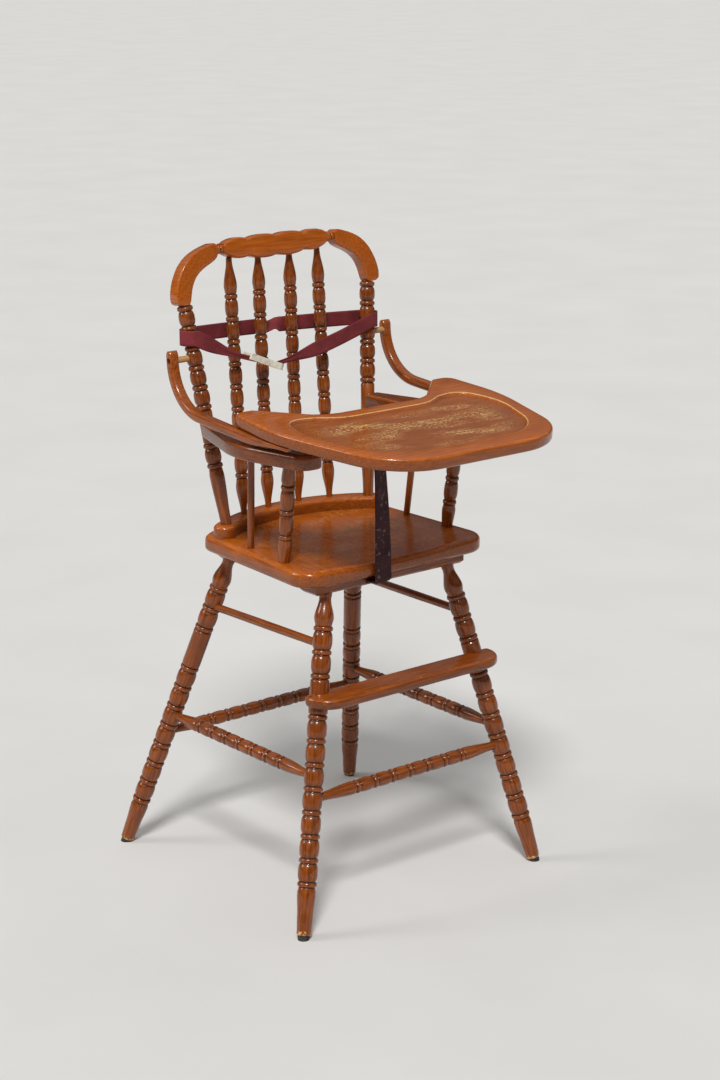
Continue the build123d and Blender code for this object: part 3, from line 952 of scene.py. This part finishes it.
# A corner block's edges in the crest's plane, from the post's top round to the crest's end, in millimetres
BLOCK_OUTER = [
    (189.0, 0.3), (196.4, 4.4), (197.9, 14.0), (195.4, 28.0), (189.8, 42.5), (179.8, 59.0),
    (165.5, 72.4), (149.5, 80.9), (133.0, 86.6), (120.2, 89.4), (114.0, 85.4),
]
BLOCK_INNER = [
    (175.5, 0.3), (172.4, 5.4), (170.4, 13.0), (166.8, 25.5), (161.0, 36.8), (153.5, 45.2),
    (145.0, 51.2), (136.0, 56.0), (126.5, 60.4), (118.2, 65.6), (114.0, 72.0),
]


def threaded(points: Sequence[tuple[float, float]], share: float) -> Vector:
    """A point on a smooth curve through evenly paced points.

    Args:
        points: The points, in order.
        share: 0 at the first point and 1 at the last.

    Returns:
        The point on the curve.
    """
    last = len(points) - 1
    first = min(int(share * last), last - 1)
    t = share * last - first
    a, b, c, d = (Vector(points[min(max(first + step, 0), last)]) for step in (-1, 0, 1, 2))
    bend = (2 * a - 5 * b + 4 * c - d) * t ** 2 + (3 * b - a - 3 * c + d) * t ** 3
    return b + ((c - a) * t + bend) / 2


@dataclass
class ChairBack(Assembly):
    """Two back posts, four spindles, the carved crest and its corner blocks."""

    lean: float = 0.15
    crest_deep: float = 10.8
    spindle_x: tuple[float, ...] = (-86.0, -30.5, 30.5, 86.0)
    spindle_y: tuple[float, ...] = (166.0, 176.0, 176.0, 166.0)
    spindle_top_y: float = 196.7
    spindle_z: tuple[float, float] = (564.0, 964.0)

    def build(self) -> None:
        """Turns the posts and spindles and carves the crest."""
        for side in Side:
            bottom, top = side.place(*POST_BOTTOM), side.place(*POST_TOP)
            made = self.post((top - bottom).length).spin(f"{side.word}_post_turning", bottom, top)
            adopt(made, self.body, TURNED.slot, f"{side.word}_back_post")
        low, high = self.spindle_z
        for number, (x, y) in enumerate(zip(self.spindle_x, self.spindle_y), 1):
            bottom, top = Vector((x, y, low)), Vector((x, self.spindle_top_y, high))
            made = self.spindle((top - bottom).length).spin(f"spindle_{number}_turning", bottom, top, 32)
            adopt(made, self.body, TURNED.slot, f"back_spindle_{number}")
        self.crest()
        for side in Side:
            self.corner(side)

    @staticmethod
    def post(length: float) -> Turning:
        """A back post's profile.

        Args:
            length: From the riser to the corner block.

        Returns:
            The profile.
        """
        profile = Turning().to(8.6, -4).to(8.6, 2).curve(11.6, 78, 10).curve(10.6, 88, 4)
        profile.beads(93.8, 32.1, 1, 12.6, 10.4)
        profile.to(10.8, 131).to(11.2, 134).to(11.2, 180)
        profile.beads(187.0, 31.0, 5, 12.6, 10.4)
        return profile.to(6.0, length + 0.6).to(5.8, length + 4)

    @staticmethod
    def spindle(length: float) -> Turning:
        """A back spindle's profile.

        Args:
            length: From the riser to the crest.

        Returns:
            The profile.
        """
        profile = Turning().to(4.6, -4).to(4.8, 2).curve(10.3, 44, 10).curve(9.0, 56, 5)
        first, pitch, count = 61.8, 35.4, 8
        profile.beads(first, pitch, count, 10.5, 8.6)
        end = first + count * pitch
        profile.to(9.2, end + 5.6).curve(10.4, end + 16, 5)
        return profile.curve(4.8, length - 1, 10).to(4.6, length + 4)

    def plane(self) -> Matrix:
        """The leaning plane of the crest: x across, y up, z to the front."""
        lean = math.atan(self.lean)
        up, out = Vector((0, math.sin(lean), math.cos(lean))), Vector((0, -math.cos(lean), math.sin(lean)))
        turn = Matrix((Vector((1, 0, 0)), up, out)).transposed().to_4x4()
        return Matrix.Translation(Vector((0.0, POST_TOP[1], POST_TOP[2])) * MM) @ turn

    def crest(self) -> None:
        """Carves the crest: four lobes with notches between them, and two rings at each end."""
        end, rings = 102.0, 12.0
        notches = [(0.0, 90.8, 62.5), (55.0, 89.4, 65.2), (end, 84.6, 74.0)]
        lobes = [(95.3, 58.2), (94.0, 62.5)]
        half = [(0.0, 92.6, 60.8, self.crest_deep, 0.0)]
        for near, lobe, far in zip(notches, lobes, notches[1:]):
            for step in range(1, 49):
                share = step / 48
                away = min(share, 1 - share) * (far[0] - near[0])
                nub = 0.4 * math.cos(math.pi * min(away / 5.0, 0.5))
                swell = max(nub, math.sin(math.pi * min(max((share - 0.035) / 0.93, 0.0), 1.0)) ** 0.5)
                x, top, low = (a + (b - a) * share for a, b in zip(near, far))
                top += (lobe[0] - (near[1] + far[1]) / 2) * swell
                low += (lobe[1] - (near[2] + far[2]) / 2) * swell
                half.append((x, top, low, self.crest_deep, 0.0))
        # The grooves between the end rings are painted dark as shade, the rings' crowns faintly worn.
        for step in range(1, 17):
            share = step / 16
            swell = 1.6 * abs(math.sin(2 * math.pi * share)) ** 0.6
            deep = self.crest_deep - 2.4 + swell
            half.append((end + rings * share, 83.2 + swell, 74.0 - swell, deep, swell - 1.5))
        skin = Skin()
        other = [(-x, *rest) for x, *rest in reversed(half[1:])]
        for x, top, low, deep, wear in other + half:
            section = bar_section(low, top, deep, 4.0)
            skin.row([Vector((x, y, z)) for y, z in section], wear)
        made = skin.build("crest_carving", BOARD.material(Grain.X), self.plane())
        adopt(made, self.body, TURNED.slot, "crest_rail")

    def corner(self, side: Side) -> None:
        """Bends one corner block from the post's top round to the crest's end.

        Args:
            side: The sitter's left or right.
        """
        skin = Skin()
        steps, ease = 48, 2.4
        foot = [(0.0, 1.6), (0.1, 0.6), (0.5, 0.1)]
        for step, shrink in [*foot, *[(float(number), 0.0) for number in range(1, steps + 1)]]:
            share = step / steps
            outer = threaded(BLOCK_OUTER, share)
            inner = threaded(BLOCK_INNER, share)
            wide, deep = (outer - inner).length - 2 * shrink, self.crest_deep - shrink
            over = (outer - inner).normalized()
            inner += over * shrink
            section = rounded([(-deep, 0, ease), (deep, 0, ease), (deep, wide, ease), (-deep, wide, ease)], 5)
            if side is Side.RIGHT:
                section.reverse()
            spots = [(inner + over * b, a) for a, b in section]
            skin.row([Vector((side.value * spot.x, spot.y, a)) for spot, a in spots])
        made = skin.build(f"{side.word}_corner_block", BOARD.material(Grain.Z), self.plane())
        adopt(made, self.body, TURNED.slot, f"{side.word}_crest_corner")


@dataclass
class FixedArms(Assembly):
    """The two flat arms, each on a turned post and a thin dowel."""

    bottom: float = 705.0
    thick: float = 24.0
    post_ends: tuple[tuple[float, float], ...] = ((161.4, -39.6), (164.7, -58.9))
    dowel_ends: tuple[tuple[float, float], ...] = ((155.6, 53.1), (163.4, 38.2))

    def build(self) -> None:
        """Shapes the arms and turns what carries them."""
        carriers = (("post", self.post, self.post_ends, 32), ("dowel", self.dowel, self.dowel_ends, 24))
        for side in Side:
            self.arm(side)
            for kind, profile, (foot, head), segments in carriers:
                name = f"{side.word}_arm_{kind}"
                start, end = side.place(*foot, SEAT_TOP), side.place(*head, self.bottom)
                made = profile((end - start).length).spin(f"{name}_turning", start, end, segments)
                adopt(made, self.body, TURNED.slot, name)

    @staticmethod
    def dowel(length: float) -> Turning:
        """A thin dowel's profile, for the length from the seat to the arm."""
        profile = Turning().to(5.2, -4).to(5.2, 10).curve(5.5, length / 2)
        return profile.curve(5.2, length).to(5.2, length + 4)

    @staticmethod
    def post(length: float) -> Turning:
        """An arm post's profile.

        Args:
            length: From the seat to the arm.

        Returns:
            The profile.
        """
        profile = Turning().to(8.8, -4).to(9.0, 2).curve(10.8, 28).curve(9.6, 37, 4)
        profile.beads(41.0, 39.5, 2, 11.0, 9.2)
        return profile.to(9.6, 125).curve(10.8, 132, 4).curve(8.6, length - 2).to(8.6, length + 4)

    def arm(self, side: Side) -> None:
        """Shapes one arm.

        Args:
            side: The sitter's left or right.
        """
        corners = [(149, 150, 0), (176, 150, 0), (223, 5, 150), (192, -127, 24), (150, -127, 14)]
        outline = [(side.value * x, y) for x, y in rounded(corners)]
        if side is Side.LEFT:
            outline.reverse()
        skin = Skin()
        edge_rows(skin, outline, self.bottom, self.bottom + self.thick, 4.0, 7.5)
        # The arm gets the darker board wood, as painted shade under the tray.
        made = skin.build(f"{side.word}_arm_board", SHADED_BOARD.material(Grain.Y))
        adopt(made, self.body, TURNED.slot, f"{side.word}_arm")


@dataclass
class Tray(Assembly):
    """The sloping tray with its recess, the bent arms that lift it, and their pegs."""

    body: Body = Body.TRAY
    place: tuple[float, float, float] = (0.0, -138.0, 760.5)
    slope: float = 3.925
    thick: float = 20.0
    recess: float = 6.0
    arm_thick: float = 15.0
    arm_wide: float = 17.0
    arm_out: float = 213.0
    arm_bend: float = 80.0
    screw: tuple[float, float] = (173.5, 825.0)

    def build(self) -> None:
        """Shapes the tray board and bends its arms."""
        middle = (0.0, -35.0)
        half = [(165, -175.6, 110), (222, 40, 280), (213, 158, 20), (173, 157, 20), (107, 81, 90)]
        outer = spread(rounded(mirrored(half)), middle)
        hollow = [(140, -139, 105), (192, 10, 120), (170, 84, 32), (120, 76, 40), (85, 54, 80)]
        inner = spread(rounded(mirrored(hollow)), middle)
        skin = Skin()
        edge_rows(skin, outer, -self.thick, 0.0, 6.0, 5.0)
        # The lip's crest is worn pale; the foot of the recess wall and the recess floor are painted darker.
        lip = ((1.0, 0.0, 0.0), (0.4, -0.1, 1.6), (-0.4, -0.6, 1.6), (-0.9, -1.2, 0.0), (-3.4, -4.8, -0.4))
        for grow, height, wear in (*lip, (-7.0, -self.recess, -0.4)):
            skin.row([Vector((x, y, height)) for x, y in inset(inner, -grow)], wear)
        for share in (0.88, 0.7, 0.5, 0.3, 0.1):
            line = [(x * share, middle[1] + (y - middle[1]) * share) for x, y in inner]
            points = [Vector((x, y, -self.recess)) for x, y in line]
            skin.row(points, -0.3, 1.0 if share < 0.8 else 0.2)
        place = Matrix.Rotation(math.radians(self.slope), 4, "X")
        place = Matrix.Translation(Vector(self.place) * MM) @ place
        adopt(skin.build("tray_top", BOARD.material(Grain.X), place), self.body, BOARD.slot, "tray_board")
        for side in Side:
            self.arm(side)

    def arm_line(self) -> list[tuple[Vector, Vector, float]]:
        """The bent arms' middle line, seen from the side.

        Returns:
            Points as (y, z), the way onwards there, and the arm's thickness as a share of its full one.
        """
        slope = Vector((1.0, math.tan(math.radians(self.slope))))
        level, tip = Vector((-136.12, 733.06)), Vector((175.4, 832.5))
        front, corner = (level + slope * (y - level.x) for y in (-117.6, 169.0))
        first, second = (corner - front).normalized(), (tip - corner).normalized()
        turn = first.angle(second)
        start = corner - first * (self.arm_bend * math.tan(turn / 2))
        centre = start + Vector((-first.y, first.x)) * self.arm_bend
        line = []
        for step in range(31):
            spot = front.lerp(start, (step / 30) ** 1.3)
            line.append((spot, first, 0.30 + 0.70 * smooth((spot - front).length / 100.0)))
        for step in range(1, 25):
            angle = turn * step / 24
            spot = centre + Matrix.Rotation(angle, 2) @ (start - centre)
            line.append((spot, Matrix.Rotation(angle, 2) @ first, 1.0))
        for angle in (0, 15, 30, 45, 57, 68, 77):
            reach = self.arm_thick / 2 * math.sin(math.radians(angle))
            line.append((tip + second * reach, second, math.cos(math.radians(angle))))
        return line

    def arm(self, side: Side) -> None:
        """Bends one tray arm up to its peg and sinks its screw's recess.

        Args:
            side: The sitter's left or right.
        """
        skin = Skin()
        for spot, way, share in self.arm_line():
            # The arm bows in towards both of its ends
            past = spot.x + 8.0
            middle = self.arm_out - 4.2 * (past / self.arm_out) ** 2
            if past < 0.0:
                middle -= 1.04 * (past / 101.5) ** 2
            tall = self.arm_thick * share
            at_tip = spot.x > 150.0
            high = tall / 2 if at_tip else self.arm_thick / 2
            half = self.arm_wide / 2 * (1.0 if at_tip else 0.45 + 0.55 * share)
            ease = min(5.0, tall * 0.46)
            section = bar_section(high - tall, high, half, ease)
            if side is Side.RIGHT:
                section.reverse()
            up = Vector((-way.y, way.x))
            points = [(spot + up * n, middle + x) for n, x in section]
            skin.row([Vector((side.value * x, flat.x, flat.y)) for flat, x in points])
        # The tray arm gets the darker board wood, as painted shade under the tray.
        made = skin.build(f"{side.word}_tray_arm_bend", SHADED_BOARD.material(Grain.Y))
        bored(made, side.place(212.0, *self.screw), side.place(230.0, *self.screw), 4.4)
        adopt(made, self.body, BOARD.slot, f"{side.word}_tray_arm")

    def dress(self) -> None:
        """Gives the pegs and screws their finishes."""
        dress("pivot_pegs", PEG.material(Grain.X), 0.6)
        dress("pivot_screws", BRASS.material(), 0.6)


@dataclass
class Ribbon:
    """A flat strap: a middle line, a width, a lean of its width and gathers, all along its length."""

    name: str
    finish: ClothFinish
    line: list[Vector]
    widths: list[float]
    ups: list[Vector]
    gathers: list[float]
    thick: float = 1.1

    def build(self, across: int = 9) -> bpy.types.Object:
        """Makes the strap.

        Args:
            across: Points across its width.

        Returns:
            The object.
        """
        skin = Skin()
        count = len(self.line)
        for number, spot in enumerate(self.line):
            along = (self.line[min(number + 1, count - 1)] - self.line[max(number - 1, 0)]).normalized()
            up = (self.ups[number] - along * along.dot(self.ups[number])).normalized()
            out = along.cross(up)
            points = []
            for step in range(across):
                share = 2 * step / (across - 1) - 1
                ripple = self.gathers[number] * math.sin(1.5 * math.pi * share)
                points.append(spot + up * (share * self.widths[number] / 2) + out * ripple)
            skin.row(points)
        made = skin.build(self.name, self.finish.material(), closed=False)
        shell = made.modifiers.new("thickness", "SOLIDIFY")
        shell.thickness = self.thick * MM
        shell.offset = 0.0
        return made

    def length(self) -> float:
        """The middle line's length, in metres."""
        return sum((b - a).length for a, b in zip(self.line, self.line[1:])) * MM


@dataclass
class WaistBelt(Assembly):
    """A ribbon round both back posts, joined in front of the spindles by a sprung clip."""

    wide: float = 24.0
    pinched: float = 7.5
    wrap: float = 16.2
    left_z: float = 846.0
    right_z: float = 857.0
    clip: Vector = field(default_factory=lambda: Vector((-42.0, 157.0, 804.0)))
    tilt: float = 22.0

    def build(self) -> None:
        """Hangs the ribbon's runs and winds the clip's spring."""
        way = Vector((math.cos(math.radians(self.tilt)), 0.0, -math.sin(math.radians(self.tilt))))
        self.run(Side.RIGHT, self.clip - way * 7.6 - Vector((0, 0.3, 0)), (0.1, 0.66))
        self.run(Side.LEFT, self.clip + way * 14.0, (0.55, 0.92))
        self.back_run()
        self.spring()

    def hold(self, side: Side) -> Vector:
        """The point on a post's axis where the ribbon goes round it."""
        height = self.left_z if side is Side.LEFT else self.right_z
        return on_line(side.place(*POST_BOTTOM), side.place(*POST_TOP), height)

    def run(self, side: Side, end: Vector, narrows: tuple[float, float]) -> None:
        """Hangs one front run: round the post, then narrowing and sagging to the clip.

        Args:
            side: The post's side.
            end: Its end in the clip.
            narrows: The shares of its length between which it narrows.
        """
        post = self.hold(side)
        line, widths, gathers = [], [], []
        for number in range(17):
            angle = math.radians(98 + 172 * number / 16)
            line.append(post + Vector((-side.value * math.cos(angle), math.sin(angle), 0.0)) * self.wrap)
            widths.append(self.wide)
            gathers.append(0.0)
        start = line[-1].copy()
        for number in range(1, 31):
            share = number / 30
            spot = start.lerp(end, share)
            spot.z -= 5.0 * math.sin(math.pi * share)
            pinch = smooth((share - narrows[0]) / (narrows[1] - narrows[0]))
            line.append(spot)
            widths.append(self.wide + (self.pinched - self.wide) * pinch)
            gathers.append(0.75 * pinch)
        ribbon = Ribbon(f"{side.word}_belt", RIBBON, line, widths, [Vector((0, 0, 1))] * len(line), gathers)
        made = adopt(ribbon.build(), self.body, RIBBON.slot, f"belt_{side.word}_run")

    def back_run(self) -> None:
        """Hangs the run behind the spindles, with a kink in its middle."""
        first, last = self.hold(Side.RIGHT), self.hold(Side.LEFT)
        line, ups = [], []
        for number in range(61):
            share = number / 60
            spot = first.lerp(last, share)
            spot.y += self.wrap + 12.0 * (1 - (2 * share - 1) ** 2)
            line.append(spot)
            twist = math.radians(68) * smooth(1 - abs(spot.x) / 22.0)
            ups.append(Vector((0.0, math.sin(twist), math.cos(twist))))
        ribbon = Ribbon("back_belt", RIBBON, line, [self.wide] * 61, ups, [0.0] * 61)
        made = adopt(ribbon.build(), self.body, RIBBON.slot, "belt_back_run")

    def spring(self) -> None:
        """Winds the clip's coil."""
        skin = Skin()
        turns, radius, wire, tall = 5, 3.1, 0.6, 8.6
        for number in range(turns * 20 + 1):
            angle = 2 * math.pi * number / 20
            out = Vector((math.cos(angle), math.sin(angle), 0.0))
            spot = out * radius + Vector((0, 0, tall * (number / (turns * 20) - 0.5)))
            ring = [2 * math.pi * step / 8 for step in range(8)]
            points = [spot + out * (wire * math.cos(a)) + Vector((0, 0, wire * math.sin(a))) for a in ring]
            skin.row(points)
        place = Matrix.Translation(self.clip * MM) @ Matrix.Rotation(math.radians(self.tilt), 4, "Y")
        adopt(skin.build("clip_coil", STEEL.material(), place), self.body, STEEL.slot, "clip_spring")

    def dress(self) -> None:
        """Gives the clip's legs their finish."""
        for node in ("clip_front_leg", "clip_back_leg"):
            dress(node, IVORY.material(), 0.9)


@dataclass
class CrotchStrap(Assembly):
    """The dark strap from under the seat front up to the tray."""

    wide: float = 30.0
    hinge: Vector = field(default_factory=lambda: Vector((-36.0, -121.8, 509.5)))
    top: Vector = field(default_factory=lambda: Vector((-62.0, -141.0, 737.0)))
    twist: float = 22.0

    def build(self) -> None:
        """Hangs the strap and folds its lower end to the batten."""
        line, ups, widths = [], [], []
        for number in range(41):
            share = number / 40
            spot = self.hinge.lerp(self.top, 0.004 + 0.994 * share)
            spot.y -= 2.5 * math.sin(math.pi * share)
            turn = math.radians(self.twist) * smooth(share * 1.2 - 0.2)
            line.append(spot)
            ups.append(Vector((math.cos(turn), math.sin(turn), 0.0)))
            widths.append(self.wide - 1.5 * math.sin(math.pi * share))
        ribbon = Ribbon("strap_free", WEBBING, line, widths, ups, [0.35] * 41, 1.5)
        made = adopt(ribbon.build(), Body.STRAP, WEBBING.slot, "crotch_strap")
        self.fold()

    def fold(self) -> None:
        """Folds the strap's end back under the seat and down the batten's front."""
        low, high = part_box("crotch_strap_end")
        front, back = low[1] / MM + 0.6, high[1] / MM - 0.9
        level, foot = high[2] / MM - 0.9, low[2] / MM + 0.3
        line = []
        for number in range(11):
            sag = 0.6 * math.sin(math.pi * number / 10)
            line.append(Vector((self.hinge.x, front + (back - front) * number / 10, level - sag)))
        line += [Vector((self.hinge.x, back, level + (foot - level) * n / 4)) for n in range(1, 5)]
        count = len(line)
        ups = [Vector((1, 0, 0))] * count
        ribbon = Ribbon("strap_fold", WEBBING, line, [self.wide - 1.0] * count, ups, [0.0] * count, 1.4)
        made = adopt(ribbon.build(), Body.CHAIR, WEBBING.slot, "crotch_strap_end")


@dataclass
class Studio:
    """A plain pale floor, soft lamps and the photograph's camera."""

    eye: Vector = field(default_factory=lambda: Vector((-2.1807, -2.7298, 1.5334)))
    right: Vector = field(default_factory=lambda: Vector((0.779, -0.627, 0.0)))
    back: Vector = field(default_factory=lambda: Vector((-0.6032, -0.7494, 0.273)))
    lens: float = 77.764

    def build(self) -> None:
        """Lays the floor and sets the lamps, world and camera."""
        shader = Shader("pale_floor")
        here = shader.node("ShaderNodeTexCoord").outputs["Object"]
        colour = shader.blend(shader.noise(here, 3.0), (0.62, 0.61, 0.59), (0.70, 0.69, 0.67))
        material = shader.finish(colour, Roughness=0.85)
        skin = Skin()
        reach = 60000.0
        for y in (-reach, reach):
            skin.row([Vector((-reach, y, 0.0)), Vector((reach, y, 0.0))])
        skin.build("floor", material, closed=False)
        self.sun("key_light", (-0.9, -1.0, 1.7), 2.4, 12.0)
        self.sun("rim_light", (-1.3, 0.9, 1.0), 0.8, 20.0)
        world = bpy.data.worlds.new("studio")
        world.use_nodes = True
        nodes, links = world.node_tree.nodes, world.node_tree.links
        height = nodes.new("ShaderNodeSeparateXYZ")
        links.new(nodes.new("ShaderNodeTexCoord").outputs["Generated"], height.inputs[0])
        rise = nodes.new("ShaderNodeMapRange")
        for name, value in (("From Min", 0.15), ("From Max", 0.75), ("To Min", 0.04), ("To Max", 0.46)):
            rise.inputs[name].default_value = value
        links.new(height.outputs["Z"], rise.inputs["Value"])
        nodes["Background"].inputs["Color"].default_value = (1.0, 1.0, 1.0, 1.0)
        links.new(rise.outputs["Result"], nodes["Background"].inputs["Strength"])
        bpy.context.scene.world = world
        bpy.context.scene.view_settings.view_transform = "Standard"
        self.camera()

    @staticmethod
    def sun(name: str, come_from: tuple[float, float, float], power: float, spread_angle: float) -> None:
        """Hangs one broad, even light.

        Args:
            name: The light's name.
            come_from: The way to the light.
            power: Its strength.
            spread_angle: How broad it is, in degrees.
        """
        light = bpy.data.lights.new(name, "SUN")
        light.energy = power
        light.angle = math.radians(spread_angle)
        made = bpy.data.objects.new(name, light)
        made.rotation_euler = Vector(come_from).to_track_quat("Z", "Y").to_euler()
        bpy.context.scene.collection.objects.link(made)

    def camera(self) -> None:
        """Sets the camera at the photograph's angle."""
        view = bpy.data.cameras.new("photo_view")
        view.lens = self.lens
        view.sensor_width = 36.0
        made = bpy.data.objects.new("photo_view", view)
        right, back = self.right.normalized(), self.back.normalized()
        up = back.cross(right)
        turn = Matrix((right, up, back)).transposed().to_4x4()
        made.matrix_world = Matrix.Translation(self.eye) @ turn
        bpy.context.scene.collection.objects.link(made)
        bpy.context.scene.camera = made


def main() -> None:
    """Builds and dresses every sub-assembly, then the studio."""
    logging.basicConfig(level=logging.INFO)
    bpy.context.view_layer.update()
    for assembly in (UnderFrame(), SeatDeck(), ChairBack(), FixedArms(), Tray(), WaistBelt(), CrotchStrap()):
        assembly.build()
        assembly.dress()
        LOG.info("dressed %s", type(assembly).__name__)
    Studio().build()


if __name__ == "__main__":
    main()
